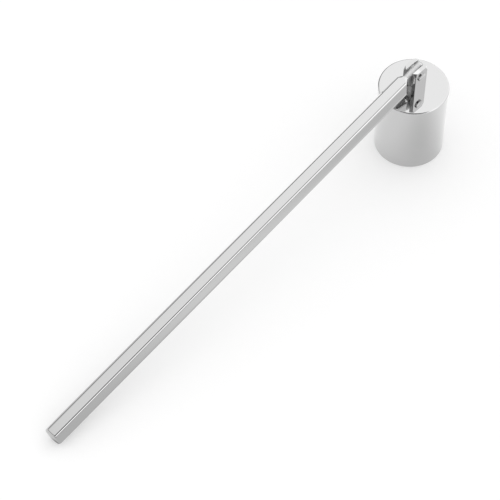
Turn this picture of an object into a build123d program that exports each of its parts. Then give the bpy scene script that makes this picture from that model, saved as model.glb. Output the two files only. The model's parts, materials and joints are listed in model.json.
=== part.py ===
from build123d import *

import os
from math import asin, atan, cos, degrees, hypot, radians, sqrt, tan

# A candle snuffer: a bell that tilts on the end of a long hexagonal handle.
# Millimetres, +Z up. The origin is the centre of the bell's mouth, on the table.
# The handle points to -X with its free end on the table, and the pivot lies along Y.

# Bell, a drawn cup that stands mouth down
bell_diameter = 28.4
bell_height = 34.8
bell_wall = 1.0
bell_top_thickness = 1.2
bell_shoulder_radius = 0.8
bell_inner_corner_radius = 2.0
bell_mouth_chamfer = 0.3

# Handle, a hexagonal bar turned and milled to a tongue at the pivot
handle_across_flats = 7.4
handle_edge_radius = 0.9
handle_reach = 202.4
handle_dome_radius = 14.0
tongue_thickness = 2.2
tongue_turned_diameter = 6.6
tongue_turned_length = 5.2
tongue_overhang = 4.0
tongue_tip_radius = 1.5
tongue_milled_length = 5.5
tongue_shoulder_angle = 36.0

# Clevis, a square fork on the centre of the bell's top
clevis_length = 7.0
clevis_width = 6.6
clevis_height = 12.4
clevis_floor = 3.2
clevis_crown_diameter = 8.0
clevis_edge_radius = 0.3
turning_angle = 20.0

# Pivot, a round-headed rivet with a washer on each side of the tongue
pivot_height = 8.5
rivet_diameter = 2.4
rivet_head_diameter = 3.8
rivet_head_height = 0.9
rivet_rim_height = 0.6
pivot_washer_diameter = 6.0
pivot_washer_thickness = 0.45

# Screw and split washer that hold the clevis, inside the bell
screw_diameter = 3.0
screw_engagement = 2.6
screw_head_diameter = 5.6
screw_head_height = 1.6
screw_head_chamfer = 0.5
screw_recess_length = 3.2
screw_recess_width = 0.7
screw_recess_depth = 0.9
screw_tapping_runout = 0.3
spring_washer_diameter = 6.0
spring_washer_thickness = 0.7
spring_washer_split = 0.6

# Clearances, and the overrun of every cut
running_clearance = 0.05
fixed_clearance = 0.02
screw_hole_clearance = 0.2
side_play = 0.1
overrun = 1.0

# Worked out from the sizes above
bell_radius = bell_diameter / 2
bell_ceiling = bell_height - bell_top_thickness
handle_half = handle_across_flats / 2
tongue_turned_radius = tongue_turned_diameter / 2
slot_width = tongue_thickness + 2 * (pivot_washer_thickness + side_play)
pivot_z = bell_height + pivot_height
shank_radius = rivet_diameter / 2
thread_radius = screw_diameter / 2
spring_washer_foot = bell_ceiling - spring_washer_thickness

# The end of the handle's lower flat rests on the table, which sets its slope at rest
dome_depth_at_flat = handle_dome_radius - sqrt(handle_dome_radius**2 - handle_half**2)
flat_reach = handle_reach - dome_depth_at_flat
rest_slope = degrees(asin(pivot_z / hypot(flat_reach, handle_half)) - atan(handle_half / flat_reach))


def turned(points):
    """A solid turned about Z from the half section through the given (radius, height) points."""
    section = make_face(Plane.XZ * Polyline(*points, close=True))
    return revolve(section, Axis.Z)


def ring(outer_radius, inner_radius, thickness):
    """A flat ring that stands on the XY plane."""
    section = Circle(outer_radius) - Circle(inner_radius)
    return extrude(section, thickness)


def along_y(shape):
    """Turns a shape made along Z to lie along Y, its top towards +Y."""
    return Rot(X=-90) * shape


def make_bell():
    inner_radius = bell_radius - bell_wall
    outside = Cylinder(bell_radius, bell_height, align=(Align.CENTER, Align.CENTER, Align.MIN))
    outside = fillet(outside.edges().sort_by(Axis.Z)[-1], bell_shoulder_radius)
    inside = Cylinder(inner_radius, bell_ceiling, align=(Align.CENTER, Align.CENTER, Align.MIN))
    inside = fillet(inside.edges().sort_by(Axis.Z)[-1], bell_inner_corner_radius)
    cup = outside - inside
    mouth_edges = cup.edges().filter_by(GeomType.CIRCLE).group_by(Axis.Z)[0]
    cup = chamfer(mouth_edges, bell_mouth_chamfer)
    hole_radius = thread_radius + screw_hole_clearance
    hole = Pos(0, 0, bell_ceiling - overrun) * Cylinder(
        hole_radius, bell_top_thickness + 2 * overrun, align=(Align.CENTER, Align.CENTER, Align.MIN)
    )
    return cup - hole


def make_clevis():
    """A short square bar with its top corners turned off, slotted for the tongue."""
    outline = fillet(Rectangle(clevis_length, clevis_width).vertices(), clevis_edge_radius)
    block = extrude(outline, clevis_height)
    crown_radius = clevis_crown_diameter / 2
    blank_radius = clevis_length
    taper_height = (blank_radius - crown_radius) / tan(radians(turning_angle))
    crown = turned(
        [
            (0, -overrun),
            (blank_radius, -overrun),
            (blank_radius, clevis_height - taper_height),
            (crown_radius, clevis_height),
            (0, clevis_height),
        ]
    )
    slot = Pos(0, 0, clevis_floor) * Box(
        clevis_length + overrun,
        slot_width,
        clevis_height,
        align=(Align.CENTER, Align.CENTER, Align.MIN),
    )
    pivot_bore = Pos(0, 0, pivot_height) * along_y(
        Cylinder(shank_radius + fixed_clearance, clevis_width + overrun)
    )
    tapped_hole = Pos(0, 0, -overrun) * Cylinder(
        thread_radius + fixed_clearance,
        screw_engagement + screw_tapping_runout + overrun,
        align=(Align.CENTER, Align.CENTER, Align.MIN),
    )
    return Pos(0, 0, bell_height) * ((block & crown) - slot - pivot_bore - tapped_hole)


def make_handle_bar():
    """Made straight along -X with the pivot at the origin, then tilted to its place at rest."""
    hexagon = RegularPolygon(handle_half, 6, major_radius=False)
    hexagon = fillet(hexagon.vertices(), handle_edge_radius)
    bar = extrude(Plane.YZ * hexagon, handle_reach + tongue_overhang)
    bar = Pos(-handle_reach, 0, 0) * bar

    # Half section that the bar is turned to: dome, blank, taper and tongue
    taper_length = (handle_dome_radius - tongue_turned_radius) / tan(radians(turning_angle))
    dome_centre = handle_dome_radius - handle_reach
    dome_swell = handle_dome_radius * cos(radians(45))
    tip_start = tongue_overhang - tongue_tip_radius
    tip_flat = tongue_turned_radius - tongue_tip_radius
    tip_swell = tongue_tip_radius * cos(radians(45))
    section = make_face(
        [
            ThreePointArc(
                (-handle_reach, 0),
                (dome_centre - dome_swell, dome_swell),
                (dome_centre, handle_dome_radius),
            ),
            Polyline(
                (dome_centre, handle_dome_radius),
                (-tongue_turned_length - taper_length, handle_dome_radius),
                (-tongue_turned_length, tongue_turned_radius),
                (tip_start, tongue_turned_radius),
            ),
            ThreePointArc(
                (tip_start, tongue_turned_radius),
                (tip_start + tip_swell, tip_flat + tip_swell),
                (tongue_overhang, tip_flat),
            ),
            Polyline((tongue_overhang, tip_flat), (tongue_overhang, 0), (-handle_reach, 0)),
        ]
    )
    bar = bar & revolve(section, Axis.X)

    # The tongue's flats and sloping shoulders are milled from both sides
    flat = tongue_thickness / 2
    side = handle_across_flats
    shoulder_length = (side - flat) / tan(radians(tongue_shoulder_angle))
    milled = make_face(
        Polyline(
            (tongue_overhang + overrun, flat),
            (-tongue_milled_length, flat),
            (-tongue_milled_length - shoulder_length, side),
            (tongue_overhang + overrun, side),
            close=True,
        )
    )
    cutter = extrude(milled, handle_across_flats, both=True)
    bar = bar - cutter - mirror(cutter, Plane.XZ)
    bar = bar - along_y(Cylinder(shank_radius + running_clearance, tongue_thickness + overrun))
    return Pos(0, 0, pivot_z) * Rot(Y=-rest_slope) * bar


def make_pivot_rivet():
    """Shank across the clevis with a low domed head on each ear."""
    seat = clevis_width / 2
    rim = seat + rivet_rim_height
    head_radius = rivet_head_diameter / 2
    crown_height = rivet_head_height - rivet_rim_height
    dome_radius = (head_radius**2 + crown_height**2) / (2 * crown_height)
    swell_radius = head_radius / 2
    swell = seat + rivet_head_height - dome_radius + sqrt(dome_radius**2 - swell_radius**2)
    section = make_face(
        [
            Polyline(
                (0, 0),
                (shank_radius, 0),
                (shank_radius, seat),
                (head_radius, seat),
                (head_radius, rim),
            ),
            ThreePointArc((head_radius, rim), (swell_radius, swell), (0, seat + rivet_head_height)),
            Line((0, seat + rivet_head_height), (0, 0)),
        ]
    )
    half = revolve(Plane.XZ * section, Axis.Z)
    rivet = half + mirror(half, Plane.XY)
    return Pos(0, 0, pivot_z) * along_y(rivet)


def make_pivot_washer(side):
    """Spacer against the inner face of one ear; side is -1 for the -Y ear and 1 for the +Y ear."""
    washer = ring(pivot_washer_diameter / 2, shank_radius + running_clearance, pivot_washer_thickness)
    low = slot_width / 2 - pivot_washer_thickness if side > 0 else -slot_width / 2
    return Pos(0, low, pivot_z) * along_y(washer)


def make_clevis_screw():
    """Head down, inside the bell, with the shank up into the foot of the clevis."""
    shank_length = spring_washer_thickness + bell_top_thickness + screw_engagement
    shank = Cylinder(thread_radius, shank_length, align=(Align.CENTER, Align.CENTER, Align.MIN))
    head = Cylinder(
        screw_head_diameter / 2, screw_head_height, align=(Align.CENTER, Align.CENTER, Align.MAX)
    )
    head = chamfer(head.edges().sort_by(Axis.Z)[0], screw_head_chamfer)
    arm = Box(screw_recess_length, screw_recess_width, 2 * screw_recess_depth)
    recess = Pos(0, 0, -screw_head_height) * (arm + Rot(Z=90) * arm)
    return Pos(0, 0, spring_washer_foot) * (head + shank - recess)


def make_spring_washer():
    washer = ring(
        spring_washer_diameter / 2, thread_radius + screw_hole_clearance, spring_washer_thickness
    )
    split = Pos(spring_washer_diameter / 2, 0, 0) * Box(
        spring_washer_diameter, spring_washer_split, 2 * spring_washer_thickness + overrun
    )
    return Pos(0, 0, spring_washer_foot) * (washer - split)


pieces = {
    "bell": make_bell(),
    "clevis": make_clevis(),
    "handle_bar": make_handle_bar(),
    "pivot_rivet": make_pivot_rivet(),
    "washer_near": make_pivot_washer(-1),
    "washer_far": make_pivot_washer(1),
    "clevis_screw": make_clevis_screw(),
    "spring_washer": make_spring_washer(),
}

os.makedirs("parts", exist_ok=True)
for name, shape in pieces.items():
    export_step(shape, f"parts/{name}.step")
print(f"pivot at z = {pivot_z:.3f} mm, handle slope at rest {rest_slope:.3f} degrees")
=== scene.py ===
import json
from math import asin, atan, atan2, cos, hypot, pi, radians, sin, sqrt, tan

import bmesh
import bpy
from mathutils import Matrix, Vector


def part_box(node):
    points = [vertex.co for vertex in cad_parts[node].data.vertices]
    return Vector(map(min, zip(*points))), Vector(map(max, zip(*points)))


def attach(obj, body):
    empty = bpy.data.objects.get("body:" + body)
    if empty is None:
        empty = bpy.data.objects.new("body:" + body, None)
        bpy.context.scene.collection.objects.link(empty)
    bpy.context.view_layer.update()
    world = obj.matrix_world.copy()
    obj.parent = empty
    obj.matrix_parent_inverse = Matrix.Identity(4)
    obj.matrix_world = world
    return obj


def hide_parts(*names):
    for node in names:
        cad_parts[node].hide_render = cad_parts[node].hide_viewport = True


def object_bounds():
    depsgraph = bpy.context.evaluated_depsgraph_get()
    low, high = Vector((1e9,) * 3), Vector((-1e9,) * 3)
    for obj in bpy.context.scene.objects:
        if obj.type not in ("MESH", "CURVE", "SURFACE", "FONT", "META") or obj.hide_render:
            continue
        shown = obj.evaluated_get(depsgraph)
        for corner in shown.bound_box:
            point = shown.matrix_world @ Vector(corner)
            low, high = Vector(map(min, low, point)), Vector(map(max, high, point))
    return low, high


# Looks of a polished steel candle snuffer: bell, clevis, hinged hexagonal handle and their fixings.
# Metres, in the part's frame: the bell stands on the table and the handle points to -X.

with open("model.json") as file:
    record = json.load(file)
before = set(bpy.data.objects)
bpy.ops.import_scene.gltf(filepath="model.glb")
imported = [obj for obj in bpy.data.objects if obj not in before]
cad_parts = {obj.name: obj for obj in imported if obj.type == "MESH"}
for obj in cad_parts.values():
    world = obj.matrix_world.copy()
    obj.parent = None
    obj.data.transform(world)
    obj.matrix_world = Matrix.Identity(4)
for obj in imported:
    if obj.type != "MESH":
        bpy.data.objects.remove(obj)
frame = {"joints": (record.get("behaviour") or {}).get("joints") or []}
cad_low, cad_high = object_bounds()
scene = bpy.context.scene
scene.view_settings.view_transform = "Standard"

# Sizes read from the frame
pivot = Vector(frame["joints"][0]["pos_m"])
bell_low, bell_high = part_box("bell")
clevis_low, clevis_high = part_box("clevis")
handle_low, handle_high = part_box("handle_bar")
rivet_low, rivet_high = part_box("pivot_rivet")
washer_low, washer_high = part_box("washer_far")
screw_low, screw_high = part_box("clevis_screw")
spring_low, spring_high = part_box("spring_washer")

# Bell
bell_radius = (bell_high.y - bell_low.y) / 2
bell_wall = 0.0010
bell_top_thickness = 0.0012
bell_shoulder_radius = 0.0006
bell_inner_corner_radius = 0.0020
bell_mouth_chamfer = 0.0003
bell_hole_radius = 0.0017

# Handle
handle_edge_radius = 0.0009
handle_width = handle_high.y - handle_low.y
handle_half = (handle_width / 2 + handle_edge_radius * (1 / cos(radians(30)) - 1)) * cos(radians(30))
handle_reach = 0.2024
handle_dome_radius = 0.0140
handle_end_easing = 0.0006
handle_facet_width = 0.00025
tongue_thickness = 0.0022
tongue_radius = 0.0033
tongue_turned_length = 0.0052
tongue_overhang = 0.0040
tongue_tip_radius = 0.0015
tongue_milled_length = 0.0055
tongue_shoulder_angle = radians(36)
tongue_bore_radius = 0.00125
tongue_edge_easing = 0.00012
turning_angle = radians(20)

# Clevis
clevis_slot_floor = 0.0032
clevis_slot_half = washer_high.y
clevis_crown_radius = 0.0040
clevis_crown_fall = 0.0003
clevis_edge_radius = 0.0003
clevis_bore_radius = 0.00122
clevis_screw_hole_radius = 0.00152
clevis_screw_hole_depth = 0.0029

# Fixings
rivet_shank_radius = 0.0012
rivet_rim_height = 0.0005
rivet_head_height = 0.0009
washer_bore_radius = 0.00125
washer_edge_easing = 0.00005
screw_head_height = 0.0016
screw_head_chamfer = 0.0005
screw_shank_radius = 0.0015
screw_recess_length = 0.0032
screw_recess_width = 0.0007
screw_recess_depth = 0.0009
spring_bore_radius = 0.0017
spring_split = 0.0006

# Finishes: shades, least and most roughness, and the depth of the grain
bell_shade = (0.57, 0.57, 0.57)
bell_roughness = (0.02, 0.05)
bell_grain_depth = 2e-7
handle_shade = (0.56, 0.56, 0.56)
handle_roughness = (0.02, 0.06)
handle_grain_depth = 2e-7
clevis_shade = (0.55, 0.55, 0.55)
clevis_roughness = (0.015, 0.04)
clevis_grain_depth = 1e-7
fixing_shade = (0.5, 0.5, 0.5)
fixing_roughness = (0.2, 0.32)
fixing_grain_depth = 4e-7

# Milled faces, which are left satin and paler than the polished ones; their paler colour is painted light
# that lifts the shade in the clevis's slot and on the tongue's flats
milled_painted_light_shade = (0.78, 0.78, 0.78)
slot_satin = 0.6
tongue_satin = 0.34
satin_margin = 0.00002

# Grain: its fineness, detail and contrast, how far it is drawn out, and the clouds that vary its gloss
grain_fineness = 2500
fixing_grain_fineness = 3000
grain_detail = 6
grain_contrast = 0.62
grain_stretch = 0.02
cloud_fineness = 90
cloud_detail = 3
cloud_contrast = 0.5
gloss_pattern_range = (0.12, 0.42)

# Fineness of the meshes
arc_step = radians(7.5)
round_segments = 192
small_round_segments = 96
sharp_angle = radians(18)
eased_angle = radians(50)
dome_steps = 12
easing_steps = 6
tip_steps = 12
rivet_dome_steps = 12
spring_steps = 64
easing_segments = 3
flat_weight = 100
cut_overrun = 0.001
weld_distance = 1e-7

# Camera
camera_place = Vector((-0.41357, -0.31265, 0.66849))
camera_aim = Vector((0.40539, 0.39518, -0.82431))
camera_lens = 147.57
camera_shift = (-0.001, 0.0007)
camera_sensor = 36
camera_near = 0.01

# Table, with its fade away from the snuffer: a painted fall-off of light, greyer far off, which light and
# metal see but the camera does not
table_half = 3.0
table_fade = (0.35, 1.15)
table_near_white = (0.72, 0.72, 0.72)
table_far_white = (0.52, 0.52, 0.52)
table_lift = 0.27

# Painted shade and painted light on the table, which only the polished sides show as painted reflections,
# in soft round patches: middle, inner and outer radius, shade
painted_light_round_bell = (Vector((0, 0, 0)), 0.045, 0.11, 1.27)
painted_shade_before_bell = (Vector((-0.010, -0.026, 0)), 0, 0.037, 0.76)
painted_shade_at_handle_end = (Vector((-0.185, -0.060, 0)), 0.01, 0.34, 0.72)
painted_light_under_end = (Vector((-0.203, 0.004, 0)), 0.006, 0.016, 1.25)
# A painted contact shadow where the handle's free end rests, seen only in the metal
painted_shadow_at_end_foot = (Vector((-0.1975, -0.0015, 0)), 0.0005, 0.0045, 0.4)

painted_reflection_patches = (
    painted_light_round_bell,
    painted_shade_before_bell,
    painted_shade_at_handle_end,
    painted_light_under_end,
    painted_shadow_at_end_foot,
)

# Painted shade on the table, seen only in the metal, where it darkens in one direction: direction, start
# and end along it, shade beyond
painted_shade_past_handle = (Vector((-0.914, -0.408, 0)), 0.212, 0.222, 0.2)
painted_shade_behind = (Vector((0, 1, 0)), 0.03, 0.09, 0.45)

painted_reflection_fades = (painted_shade_past_handle, painted_shade_behind)

# Studio: its plain light, then what metal shows of it: levels from the camera's left to its right,
# and the level low down all round, with the heights between which it gives way to the others
plain_level = 1.06
wall_levels = ((-1, 0.5), (-0.5, 0.5), (-0.43, 0.6), (-0.34, 1.12), (-0.16, 1.4), (0.1, 1.4), (1, 1.6))
low_level = 1.35
low_heights = (0.4, 0.65)

# Patches that metal shows of the studio: direction, inner and outer angle from it, and brightness inside
overhead_gap = (Vector((-0.08, -0.25, 0.96)), radians(14), radians(24), 0.38)
dark_camera = (camera_place - pivot, radians(26), radians(44), 0.22)
side_lamp = (Vector((0.15, -0.90, 0.40)), radians(14), radians(24), 1.3)
back_lamp = (Vector((0.95, 0.10, 0.25)), radians(18), radians(32), 1.12)
dark_behind = (Vector((0.29, 0.894, 0.342)), radians(16), radians(26), 0.25)
bright_behind = (Vector((0.05, 0.62, 0.785)), radians(5), radians(12), 1.5)
ear_lamp = (Vector((0.40, 0.30, 0.866)), radians(3), radians(7.5), 1.25)
root_shade = (Vector((0.66, 0.71, 0.12)), radians(7), radians(14), 0.2)

studio_patches = (
    overhead_gap,
    dark_camera,
    side_lamp,
    back_lamp,
    dark_behind,
    bright_behind,
    ear_lamp,
    root_shade,
)

# Sockets of a Mix node that blends colours
first_colour, second_colour, blended_colour = 6, 7, 2

# The free end of the handle's lower flat rests on the table, which gives the slope
dome_depth_at_flat = handle_dome_radius - sqrt(handle_dome_radius**2 - handle_half**2)
flat_reach = handle_reach - dome_depth_at_flat
handle_slope = asin(pivot.z / hypot(flat_reach, handle_half)) - atan(handle_half / flat_reach)
handle_place = Matrix.Translation(pivot) @ Matrix.Rotation(-handle_slope, 4, "Y")
pivot_place = Matrix.Translation(pivot) @ Matrix.Rotation(-pi / 2, 4, "X")


# Outlines


def rounded_outline(corners):
    """Points of an outline through (across, up, radius) corners, with an arc at each that has a radius."""
    points = []
    count = len(corners)
    for index, (across, up, radius) in enumerate(corners):
        corner = Vector((across, up))
        if not radius:
            points.append(corner)
            continue
        to_last = (Vector(corners[index - 1][:2]) - corner).normalized()
        to_next = (Vector(corners[(index + 1) % count][:2]) - corner).normalized()
        half_angle = to_last.angle(to_next) / 2
        middle = corner + (to_last + to_next).normalized() * radius / sin(half_angle)
        start = corner + to_last * radius / tan(half_angle) - middle
        end = corner + to_next * radius / tan(half_angle) - middle
        sweep = end.angle_signed(start)
        steps = max(2, round(abs(sweep) / arc_step))
        for step in range(steps + 1):
            angle = sweep * step / steps
            points.append(middle + Matrix.Rotation(angle, 2) @ start)
    return points


# Meshes


def new_piece(name, mesh):
    piece = bpy.data.objects.new(name, mesh)
    scene.collection.objects.link(piece)
    return piece


def mesh_of(name, points, faces=(), edges=()):
    mesh = bpy.data.meshes.new(name)
    mesh.from_pydata([tuple(p) for p in points], list(edges), list(faces))
    return mesh


def point_faces_outwards(mesh):
    work = bmesh.new()
    work.from_mesh(mesh)
    bmesh.ops.remove_doubles(work, verts=work.verts, dist=weld_distance)
    bmesh.ops.recalc_face_normals(work, faces=work.faces)
    work.to_mesh(mesh)
    work.free()


def settle(piece):
    """Turns a piece and its modifiers into a plain mesh that faces outwards."""
    evaluated = piece.evaluated_get(bpy.context.evaluated_depsgraph_get())
    mesh = bpy.data.meshes.new_from_object(evaluated)
    piece.modifiers.clear()
    piece.data = mesh
    point_faces_outwards(mesh)


def smooth_with_true_flats(piece):
    """Smooth shading in which large flats keep their own normals and sharp edges stay sharp."""
    piece.data.shade_smooth()
    piece.data.set_sharp_from_angle(angle=sharp_angle)
    weighted = piece.modifiers.new("true_flats", "WEIGHTED_NORMAL")
    weighted.mode = "FACE_AREA"
    weighted.weight = flat_weight
    weighted.keep_sharp = True
    evaluated = piece.evaluated_get(bpy.context.evaluated_depsgraph_get())
    mesh = bpy.data.meshes.new_from_object(evaluated)
    piece.modifiers.clear()
    piece.data = mesh


def prism(name, outline, low, high):
    """A straight bar along Z with the given outline."""
    count = len(outline)
    points = [(p[0], p[1], z) for z in (low, high) for p in outline]
    faces = [tuple(reversed(range(count))), tuple(range(count, 2 * count))]
    for index in range(count):
        after = (index + 1) % count
        faces.append((index, after, after + count, index + count))
    piece = new_piece(name, mesh_of(name, points, faces))
    point_faces_outwards(piece.data)
    return piece


def cut(piece, tool, operation="DIFFERENCE"):
    """Cuts a piece with a tool, or keeps what they share, and takes the tool away."""
    step = piece.modifiers.new("cut", "BOOLEAN")
    step.operation = operation
    step.solver = "EXACT"
    step.object = tool
    settle(piece)
    bpy.data.objects.remove(tool)


def ease_edges(piece, width):
    """Breaks the sharp edges of a milled piece."""
    bevel = piece.modifiers.new("easing", "BEVEL")
    bevel.width = width
    bevel.segments = easing_segments
    bevel.limit_method = "ANGLE"
    bevel.angle_limit = eased_angle
    settle(piece)


def finish(piece, material):
    """Gives a piece its only material."""
    piece.data.materials.clear()
    piece.data.materials.append(material)


def place(piece, matrix):
    """Moves the mesh of a piece and leaves its object at the origin."""
    piece.data.transform(matrix)
    point_faces_outwards(piece.data)


# Nodes


def add_node(tree, kind, values=None, **settings):
    node = tree.nodes.new(kind)
    for name, value in settings.items():
        setattr(node, name, value)
    for socket, value in (values or {}).items():
        if isinstance(value, bpy.types.NodeSocket):
            tree.links.new(value, node.inputs[socket])
        else:
            node.inputs[socket].default_value = value
    return node


def maths(tree, operation, first, second=None):
    """The result of a sum on one value or two."""
    values = {0: first} if second is None else {0: first, 1: second}
    return add_node(tree, "ShaderNodeMath", values, operation=operation).outputs[0]


def measure(tree, operation, first, second=None):
    """A number from one vector or two, such as their distance."""
    values = {0: first} if second is None else {0: first, 1: second}
    return add_node(tree, "ShaderNodeVectorMath", values, operation=operation).outputs["Value"]


def soft_step(tree, value, start, end, before=0, after=1):
    """A level that goes softly from before to after while the value goes from start to end."""
    edge = {"Value": value, "From Min": start, "From Max": end, "To Min": before, "To Max": after}
    return add_node(tree, "ShaderNodeMapRange", edge, interpolation_type="SMOOTHSTEP").outputs[0]


def blend(tree, share, first, second):
    return add_node(tree, "ShaderNodeMix", {"Factor": share, "A": first, "B": second}).outputs[0]


def blend_shades(tree, share, first, second):
    node = add_node(tree, "ShaderNodeMix", {"Factor": share}, data_type="RGBA")
    node.inputs[first_colour].default_value = (*first, 1)
    node.inputs[second_colour].default_value = (*second, 1)
    return node.outputs[blended_colour]


def object_place(tree):
    return add_node(tree, "ShaderNodeTexCoord").outputs["Object"]


# Turned pieces


def make_turning_tree():
    """Spins the profile that it is given about Z: a grid with one row for each point of the profile."""
    tree = bpy.data.node_groups.new("turning", "GeometryNodeTree")
    for name, kind in (
        ("Profile", "NodeSocketGeometry"),
        ("Segments", "NodeSocketInt"),
        ("Finish", "NodeSocketMaterial"),
    ):
        tree.interface.new_socket(name, in_out="INPUT", socket_type=kind)
    tree.interface.new_socket("Turned", in_out="OUTPUT", socket_type="NodeSocketGeometry")
    given = add_node(tree, "NodeGroupInput").outputs
    size = add_node(
        tree, "GeometryNodeAttributeDomainSize", {"Geometry": given["Profile"]}, component="MESH"
    )
    columns = maths(tree, "ADD", given["Segments"], 1)
    grid = add_node(
        tree, "GeometryNodeMeshGrid", {"Vertices X": size.outputs["Point Count"], "Vertices Y": columns}
    )
    index = add_node(tree, "GeometryNodeInputIndex").outputs[0]
    row = maths(tree, "FLOOR", maths(tree, "DIVIDE", index, columns))
    column = maths(tree, "MODULO", index, columns)
    share = maths(tree, "DIVIDE", column, given["Segments"])
    angle = maths(tree, "MULTIPLY", share, 2 * pi)
    spot = add_node(tree, "GeometryNodeInputPosition").outputs[0]
    on_profile = add_node(
        tree,
        "GeometryNodeSampleIndex",
        {"Geometry": given["Profile"], "Index": row},
        data_type="FLOAT_VECTOR",
        domain="POINT",
    )
    tree.links.new(spot, on_profile.inputs["Value"])
    spun = add_node(
        tree,
        "ShaderNodeVectorRotate",
        {"Vector": on_profile.outputs[0], "Angle": angle},
        rotation_type="Z_AXIS",
    )
    placed = add_node(
        tree, "GeometryNodeSetPosition", {"Geometry": grid.outputs["Mesh"], "Position": spun.outputs[0]}
    )
    welded = add_node(
        tree, "GeometryNodeMergeByDistance", {"Geometry": placed.outputs[0], "Distance": weld_distance}
    )
    real = add_node(tree, "GeometryNodeRealizeInstances", {"Geometry": welded.outputs[0]})
    finished = add_node(
        tree, "GeometryNodeSetMaterial", {"Geometry": real.outputs[0], "Material": given["Finish"]}
    )
    add_node(tree, "NodeGroupOutput", {"Turned": finished.outputs[0]})
    return tree


turning_tree = make_turning_tree()


def turn(name, profile, segments, material):
    """A turned piece about Z from (radius, height) points; a closed profile repeats its first point."""
    points = [(p[0], 0, p[1]) for p in profile]
    edges = [(k, k + 1) for k in range(len(points) - 1)]
    piece = new_piece(name, mesh_of(name, points, edges=edges))
    spin = piece.modifiers.new("turning", "NODES")
    spin.node_group = turning_tree
    inputs = {s.name: s.identifier for s in turning_tree.interface.items_tree if s.in_out == "INPUT"}
    spin[inputs["Segments"]] = segments
    spin[inputs["Finish"]] = material
    settle(piece)
    return piece


# Finishes


def steel(name, shade, roughness, grain, fineness, depth, satin=None, pale_painted_light=None):
    """Polished steel: a faint grain that follows how the piece was made, in its gloss and its surface;
    milled faces may be satin and get a paler colour, which is painted light.
    """
    material = bpy.data.materials.new(name)
    material.use_nodes = True
    tree = material.node_tree
    shader = tree.nodes["Principled BSDF"]
    shader.inputs["Base Color"].default_value = (*shade, 1)
    shader.inputs["Metallic"].default_value = 1
    pattern = {"Scale": fineness, "Detail": grain_detail, "Roughness": grain_contrast}
    fine = add_node(tree, "ShaderNodeTexNoise", {"Vector": grain(tree), **pattern}).outputs[0]
    pattern = {"Scale": cloud_fineness, "Detail": cloud_detail, "Roughness": cloud_contrast}
    clouds = add_node(tree, "ShaderNodeTexNoise", {"Vector": object_place(tree), **pattern}).outputs[0]
    least, most = gloss_pattern_range
    low, high = roughness
    span = {"From Min": least, "From Max": most, "To Min": low, "To Max": high}
    varied = maths(tree, "MULTIPLY", fine, clouds)
    gloss = add_node(tree, "ShaderNodeMapRange", {"Value": varied, **span}).outputs[0]
    if satin:
        where, level = satin
        gloss = blend(tree, where(tree), gloss, level)
    # Milled faces get a paler colour: painted light that lifts their shade in the slot
    if pale_painted_light:
        where, milled = pale_painted_light
        tree.links.new(blend_shades(tree, where(tree), shade, milled), shader.inputs["Base Color"])
    tree.links.new(gloss, shader.inputs["Roughness"])
    bump = add_node(tree, "ShaderNodeBump", {"Height": fine, "Strength": 1, "Distance": depth})
    tree.links.new(bump.outputs[0], shader.inputs["Normal"])
    return material


def turned_grain(tree):
    """Rings round the bell's axis, which change with radius and height and hardly along each ring."""
    parts = add_node(tree, "ShaderNodeSeparateXYZ", {0: object_place(tree)}).outputs
    flat = add_node(tree, "ShaderNodeCombineXYZ", {"X": parts["X"], "Y": parts["Y"]}).outputs[0]
    radius = measure(tree, "LENGTH", flat)
    slow = maths(tree, "MULTIPLY", parts["X"], grain_stretch)
    return add_node(tree, "ShaderNodeCombineXYZ", {"X": radius, "Y": parts["Z"], "Z": slow}).outputs[0]


def drawn_grain(tree):
    """Long streaks along the handle."""
    mapping = add_node(tree, "ShaderNodeMapping", {"Vector": object_place(tree)})
    mapping.inputs["Rotation"].default_value = (0, handle_slope, 0)
    mapping.inputs["Scale"].default_value = (grain_stretch, 1, 1)
    return mapping.outputs[0]


def off_middle(tree):
    """Distance from the plane through the handle and the bell's axis."""
    across = add_node(tree, "ShaderNodeSeparateXYZ", {0: object_place(tree)}).outputs["Y"]
    return maths(tree, "ABSOLUTE", across)


def in_slot(tree):
    """1 on the milled faces of the clevis's slot."""
    return maths(tree, "LESS_THAN", off_middle(tree), clevis_slot_half + satin_margin)


def on_tongue(tree):
    """1 on the tongue, with a soft edge at its root."""
    along = handle_place.to_3x3() @ Vector((1, 0, 0))
    way = measure(tree, "DOT_PRODUCT", object_place(tree), along)
    root = pivot.dot(along) - tongue_turned_length
    return soft_step(tree, way, root - tongue_thickness / 2, root)


def on_tongue_flats(tree):
    """1 on the milled flats of the tongue."""
    flat = maths(tree, "GREATER_THAN", off_middle(tree), tongue_thickness / 2 - satin_margin)
    return maths(tree, "MULTIPLY", flat, on_tongue(tree))


bell_steel = steel("bell_steel", bell_shade, bell_roughness, turned_grain, grain_fineness, bell_grain_depth)
handle_steel = steel(
    "handle_steel",
    handle_shade,
    handle_roughness,
    drawn_grain,
    grain_fineness,
    handle_grain_depth,
    satin=(on_tongue, tongue_satin),
    pale_painted_light=(on_tongue_flats, milled_painted_light_shade),
)
clevis_steel = steel(
    "clevis_steel",
    clevis_shade,
    clevis_roughness,
    object_place,
    grain_fineness,
    clevis_grain_depth,
    satin=(in_slot, slot_satin),
    pale_painted_light=(in_slot, milled_painted_light_shade),
)
fixing_steel = steel(
    "fixing_steel",
    fixing_shade,
    fixing_roughness,
    object_place,
    fixing_grain_fineness,
    fixing_grain_depth,
)


# Pieces


def make_bell():
    height = bell_high.z
    inner = bell_radius - bell_wall
    ceiling = height - bell_top_thickness
    chamfer = bell_mouth_chamfer
    corners = [
        (bell_hole_radius, height, 0),
        (bell_radius, height, bell_shoulder_radius),
        (bell_radius, chamfer, 0),
        (bell_radius - chamfer, 0, 0),
        (inner + chamfer, 0, 0),
        (inner, chamfer, 0),
        (inner, ceiling, bell_inner_corner_radius),
        (bell_hole_radius, ceiling, 0),
    ]
    profile = rounded_outline(corners)
    return turn("bell_polished", profile + profile[:1], round_segments, bell_steel)


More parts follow.
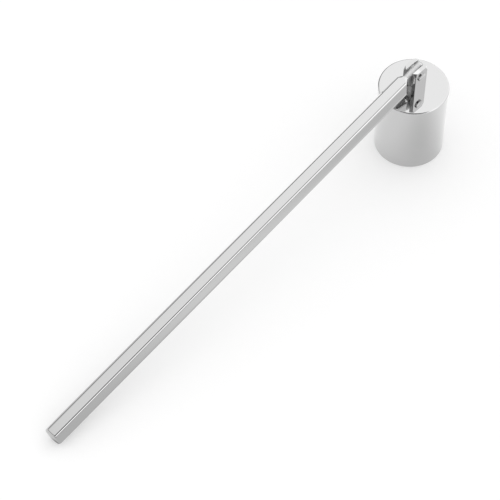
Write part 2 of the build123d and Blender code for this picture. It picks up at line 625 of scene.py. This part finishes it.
def hexagon_outline():
    """Rounded hexagon with flats at the top and bottom, each divided so that arcs run true across it."""
    corner_radius = handle_half / cos(radians(30))
    corners = []
    for side in range(6):
        angle = radians(60 * side)
        corners.append((corner_radius * cos(angle), corner_radius * sin(angle), handle_edge_radius))
    outline = rounded_outline(corners)
    divided = []
    for spot, after in zip(outline, outline[1:] + outline[:1]):
        steps = max(1, round((after - spot).length / handle_facet_width))
        divided += [spot.lerp(after, step / steps) for step in range(steps)]
    return divided


def dome_point(spot, share):
    """Where the dome of the free end lies over a share of the way out to a spot of the hexagon."""
    flat = spot * share
    rise = sqrt(handle_dome_radius**2 - flat.length_squared)
    return Vector((handle_dome_radius - handle_reach - rise, flat.x, flat.y))


def eased_point(spot, share):
    """A spot on the curve that eases the dome into the flats."""
    edge = dome_point(spot, 1)
    before = dome_point(spot, 1 - handle_end_easing / handle_half)
    after = edge + Vector((handle_end_easing, 0, 0))
    return before.lerp(edge, share).lerp(edge.lerp(after, share), share)


def taper_point(spot):
    """Where the turned taper leaves the hexagon."""
    taper = (spot.length - tongue_radius) / tan(turning_angle)
    return Vector((-tongue_turned_length - taper, spot.x, spot.y))


def turned_point(spot, x, radius):
    """A spot of the hexagon brought in to a turned radius."""
    flat = spot.normalized() * radius
    return Vector((x, flat.x, flat.y))


def handle_rings():
    """Rings of points along the bar: dome, eased edge, flats, taper, turned tongue and rounded tip."""
    outline = hexagon_outline()
    rings = []
    inner_share = 1 - handle_end_easing / handle_half
    for step in range(1, dome_steps + 1):
        rings.append([dome_point(spot, inner_share * step / dome_steps) for spot in outline])
    for step in range(1, easing_steps + 1):
        rings.append([eased_point(spot, step / easing_steps) for spot in outline])
    rings.append([taper_point(spot) for spot in outline])
    rings.append([turned_point(spot, -tongue_turned_length, tongue_radius) for spot in outline])
    for step in range(tip_steps + 1):
        angle = pi / 2 * step / tip_steps
        x = tongue_overhang - tongue_tip_radius * (1 - sin(angle))
        radius = tongue_radius - tongue_tip_radius * (1 - cos(angle))
        rings.append([turned_point(spot, x, radius) for spot in outline])
    return rings


def closed_rings(name, rings, first_end, last_end):
    """A closed skin over rings of points, with a point at each end."""
    count = len(rings[0])
    ends = [first_end, last_end]
    points = ends + [spot for ring in rings for spot in ring]
    starts = [len(ends) + row * count for row in range(len(rings))]
    faces = []
    for index in range(count):
        after = (index + 1) % count
        faces.append((0, starts[0] + after, starts[0] + index))
        faces.append((1, starts[-1] + index, starts[-1] + after))
        for low, high in zip(starts, starts[1:]):
            faces.append((low + index, low + after, high + after, high + index))
    piece = new_piece(name, mesh_of(name, points, faces))
    point_faces_outwards(piece.data)
    return piece


def make_handle():
    """The bar is turned, its tongue is milled from both sides and bored, and all is tilted to its place."""
    ends = (-handle_reach, 0, 0), (tongue_overhang, 0, 0)
    bar = closed_rings("handle_bar_polished", handle_rings(), *ends)
    flat = tongue_thickness / 2
    side = 2 * handle_half
    shoulder = (side - flat) / tan(tongue_shoulder_angle)
    end = tongue_overhang + cut_overrun
    for sign in (-1, 1):
        milled = [
            (end, sign * flat),
            (-tongue_milled_length, sign * flat),
            (-tongue_milled_length - shoulder, sign * side),
            (end, sign * side),
        ]
        cut(bar, prism("milling", milled, -side, side))
    bore = turn("bore", bore_profile(tongue_bore_radius, handle_half), small_round_segments, handle_steel)
    place(bore, Matrix.Rotation(-pi / 2, 4, "X"))
    cut(bar, bore)
    ease_edges(bar, tongue_edge_easing)
    place(bar, handle_place)
    finish(bar, handle_steel)
    return bar


def bore_profile(radius, half_length):
    return [(0, -half_length), (radius, -half_length), (radius, half_length), (0, half_length)]


def make_clevis():
    """A short square bar, its top corners turned off, with the slot and the holes cut."""
    half_length = (clevis_high.x - clevis_low.x) / 2
    half_width = (clevis_high.y - clevis_low.y) / 2
    foot, top = clevis_low.z, clevis_high.z
    corners = [
        (half_length, half_width, clevis_edge_radius),
        (-half_length, half_width, clevis_edge_radius),
        (-half_length, -half_width, clevis_edge_radius),
        (half_length, -half_width, clevis_edge_radius),
    ]
    block = prism("clevis_polished", rounded_outline(corners), foot, top)
    blank = 2 * half_length
    taper = (blank - clevis_crown_radius) / tan(turning_angle)
    crown = [
        (0, foot - cut_overrun),
        (blank, foot - cut_overrun),
        (blank, top - clevis_crown_fall - taper),
        (clevis_crown_radius, top - clevis_crown_fall),
        (0, top),
    ]
    cut(block, turn("crown", crown, round_segments, clevis_steel), "INTERSECT")
    slot = [
        (sx * blank, sy * clevis_slot_half) for sx, sy in ((1, 1), (-1, 1), (-1, -1), (1, -1))
    ]
    cut(block, prism("slot", slot, foot + clevis_slot_floor, top + cut_overrun))
    bore = turn("bore", bore_profile(clevis_bore_radius, blank), small_round_segments, clevis_steel)
    place(bore, pivot_place)
    cut(block, bore)
    hole = bore_profile(clevis_screw_hole_radius, clevis_screw_hole_depth)
    tapped = turn("tapped", hole, small_round_segments, clevis_steel)
    place(tapped, Matrix.Translation((0, 0, foot)))
    cut(block, tapped)
    finish(block, clevis_steel)
    return block


def make_rivet():
    seat = clevis_high.y
    crown = rivet_head_height - rivet_rim_height
    head_radius = (rivet_high.z - rivet_low.z) / 2
    dome_radius = (head_radius**2 + crown**2) / (2 * crown)
    top = seat + rivet_head_height
    widest = asin(head_radius / dome_radius)
    dome = []
    for step in range(rivet_dome_steps + 1):
        angle = widest * step / rivet_dome_steps
        dome.append((dome_radius * sin(angle), top - dome_radius * (1 - cos(angle))))
    half = dome + [(head_radius, seat), (rivet_shank_radius, seat)]
    other_half = [(radius, -height) for radius, height in reversed(half)]
    piece = turn("pivot_rivet_polished", half + other_half, small_round_segments, clevis_steel)
    place(piece, pivot_place)
    return piece


def make_washer(name, side):
    inner, outer = washer_low.y, washer_high.y
    radius = (washer_high.z - washer_low.z) / 2
    easing = washer_edge_easing
    corners = [
        (washer_bore_radius, inner, easing),
        (radius, inner, easing),
        (radius, outer, easing),
        (washer_bore_radius, outer, easing),
    ]
    profile = rounded_outline(corners)
    piece = turn(name, profile + profile[:1], small_round_segments, fixing_steel)
    place(piece, pivot_place @ Matrix.Rotation(0 if side > 0 else pi, 4, "X"))
    return piece


def make_screw():
    """Cross-recess screw, head down inside the bell."""
    head_radius = screw_high.y
    low = screw_low.z
    seat = low + screw_head_height
    profile = [
        (0, low),
        (head_radius - screw_head_chamfer, low),
        (head_radius, low + screw_head_chamfer),
        (head_radius, seat),
        (screw_shank_radius, seat),
        (screw_shank_radius, screw_high.z),
        (0, screw_high.z),
    ]
    piece = turn("clevis_screw_satin", profile, small_round_segments, fixing_steel)
    long, wide = screw_recess_length / 2, screw_recess_width / 2
    for across, up in ((long, wide), (wide, long)):
        arm = [(sx * across, sy * up) for sx, sy in ((1, 1), (-1, 1), (-1, -1), (1, -1))]
        cut(piece, prism("recess", arm, low - cut_overrun, low + screw_recess_depth))
    return piece


def make_spring_washer():
    """A square section swept round most of a circle, with a gap at +X."""
    low, high = spring_low.z, spring_high.z
    outer = spring_high.y
    start = atan2(spring_split / 2, outer)
    section = ((spring_bore_radius, low), (outer, low), (outer, high), (spring_bore_radius, high))
    sides = len(section)
    points = []
    for step in range(spring_steps + 1):
        angle = start + (2 * pi - 2 * start) * step / spring_steps
        for radius, z in section:
            points.append((radius * cos(angle), radius * sin(angle), z))
    first_end = tuple(range(sides))
    last_end = tuple(sides * spring_steps + side for side in reversed(first_end))
    faces = [first_end, last_end]
    for step in range(spring_steps):
        before = sides * step
        after = before + sides
        for side in first_end:
            other = (side + 1) % sides
            faces.append((before + side, before + other, after + other, after + side))
    piece = new_piece("spring_washer_satin", mesh_of("spring_washer", points, faces))
    point_faces_outwards(piece.data)
    finish(piece, fixing_steel)
    return piece


def fit(piece, node, body):
    """Smooths a finished piece and puts it in the place of a node, on its body."""
    smooth_with_true_flats(piece)
    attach(piece, body)
    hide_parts(node)


fit(make_bell(), "bell", "head")
fit(make_clevis(), "clevis", "head")
fit(make_handle(), "handle_bar", "handle")
fit(make_rivet(), "pivot_rivet", "head")
fit(make_washer("washer_near_satin", -1), "washer_near", "head")
fit(make_washer("washer_far_satin", 1), "washer_far", "head")
fit(make_screw(), "clevis_screw", "head")
fit(make_spring_washer(), "spring_washer", "head")


# Table, light and camera


def shown(tree):
    """1 for rays from the camera and for what metal or glass shows, 0 for light that falls on pieces."""
    path = add_node(tree, "ShaderNodeLightPath").outputs
    seen = maths(tree, "ADD", path["Is Camera Ray"], path["Is Glossy Ray"])
    seen = add_node(
        tree, "ShaderNodeMath", {0: seen, 1: path["Is Transmission Ray"]}, operation="ADD", use_clamp=True
    )
    return seen.outputs[0]


def curve_node(tree, value, points):
    """A curve through (value, level) points, of which the first and the last bound the values."""
    node = add_node(tree, "ShaderNodeFloatCurve", {"Value": value})
    curve = node.mapping.curves[0]
    node.mapping.use_clip = False
    for spot, bound in zip(curve.points, (points[0], points[-1])):
        spot.location = bound
    for across, level in points[1:-1]:
        curve.points.new(across, level)
    for spot in curve.points:
        spot.handle_type = "VECTOR"
    node.mapping.update()
    return node.outputs[0]


def painted_reflection_level(tree):
    """1 for the camera and for light that falls on the table; for what metal shows, the table's patches of
    painted shade and painted light.
    """
    spot = object_place(tree)
    glossy = add_node(tree, "ShaderNodeLightPath").outputs["Is Glossy Ray"]
    painted_level = 1.0
    for middle, inner, outer, level in painted_reflection_patches:
        away = measure(tree, "DISTANCE", spot, middle)
        painted_level = maths(tree, "MULTIPLY", painted_level, soft_step(tree, away, inner, outer, level, 1))
    for towards, start, end, level in painted_reflection_fades:
        way = measure(tree, "DOT_PRODUCT", spot, towards)
        painted_level = maths(tree, "MULTIPLY", painted_level, soft_step(tree, way, start, end, 1, level))
    return blend(tree, glossy, 1.0, painted_level)


def make_table():
    """White to the camera, and to light and metal white near the snuffer and greyer far off, a painted
    fall-off of light; metal also sees the table's painted shade and painted light.
    """
    middle = (cad_low + cad_high) / 2
    middle.z = 0
    corners = [middle + Vector((x, y, 0)) * table_half for x, y in ((-1, -1), (1, -1), (1, 1), (-1, 1))]
    table = new_piece("table", mesh_of("table", corners, [(0, 1, 2, 3)]))
    material = bpy.data.materials.new("white_table")
    material.use_nodes = True
    tree = material.node_tree
    shader = tree.nodes["Principled BSDF"]
    shader.inputs["Roughness"].default_value = 1
    shader.inputs["Specular IOR Level"].default_value = 0
    shader.inputs["Emission Color"].default_value = (1, 1, 1, 1)
    # Painted fall-off of light: the table greys away from the snuffer, except to the camera
    near, far = table_fade
    fade = soft_step(tree, measure(tree, "DISTANCE", object_place(tree), middle), near, far)
    camera_ray = add_node(tree, "ShaderNodeLightPath").outputs["Is Camera Ray"]
    fade = maths(tree, "MULTIPLY", fade, maths(tree, "SUBTRACT", 1.0, camera_ray))
    shade = blend_shades(tree, fade, table_near_white, table_far_white)
    # Painted reflections: the table's patches of painted shade and painted light, which only metal sees
    painted_reflection = painted_reflection_level(tree)
    colour = add_node(tree, "ShaderNodeVectorMath", {0: shade, "Scale": painted_reflection}, operation="SCALE")
    tree.links.new(colour.outputs[0], shader.inputs["Base Color"])
    lift = maths(tree, "MULTIPLY", shown(tree), table_lift)
    tree.links.new(maths(tree, "MULTIPLY", lift, painted_reflection), shader.inputs["Emission Strength"])
    finish(table, material)


def studio_patch(tree, direction, patch):
    """A factor that is 1 outside a round patch of the studio and the patch's own brightness inside it."""
    towards, inner, outer, brightness = patch
    near = measure(tree, "DOT_PRODUCT", direction, towards.normalized())
    return soft_step(tree, near, cos(outer), cos(inner), 1, brightness)


def make_world():
    """A plain white studio, of which metal shows a dark left, a bright right and the patches."""
    world = bpy.data.worlds.new("studio")
    scene.world = world
    world.use_nodes = True
    tree = world.node_tree
    direction = add_node(tree, "ShaderNodeTexCoord").outputs["Generated"]
    to_right = camera_aim.cross(Vector((0, 0, 1))).normalized()
    walls = curve_node(tree, measure(tree, "DOT_PRODUCT", direction, to_right), wall_levels)
    up = add_node(tree, "ShaderNodeSeparateXYZ", {0: direction}).outputs["Z"]
    level = blend(tree, soft_step(tree, up, *low_heights), low_level, walls)
    for patch in studio_patches:
        level = maths(tree, "MULTIPLY", level, studio_patch(tree, direction, patch))
    glossy = add_node(tree, "ShaderNodeLightPath").outputs["Is Glossy Ray"]
    background = tree.nodes["Background"]
    background.inputs["Color"].default_value = (1, 1, 1, 1)
    tree.links.new(blend(tree, glossy, plain_level, level), background.inputs["Strength"])


def make_camera():
    """A camera at the photograph's place and angle."""
    data = bpy.data.cameras.new("camera")
    data.sensor_width = camera_sensor
    data.lens = camera_lens
    data.shift_x, data.shift_y = camera_shift
    data.clip_start = camera_near
    camera = bpy.data.objects.new("camera", data)
    scene.collection.objects.link(camera)
    camera.location = camera_place
    camera.rotation_euler = camera_aim.to_track_quat("-Z", "Y").to_euler()
    scene.camera = camera


make_table()
make_world()
make_camera()
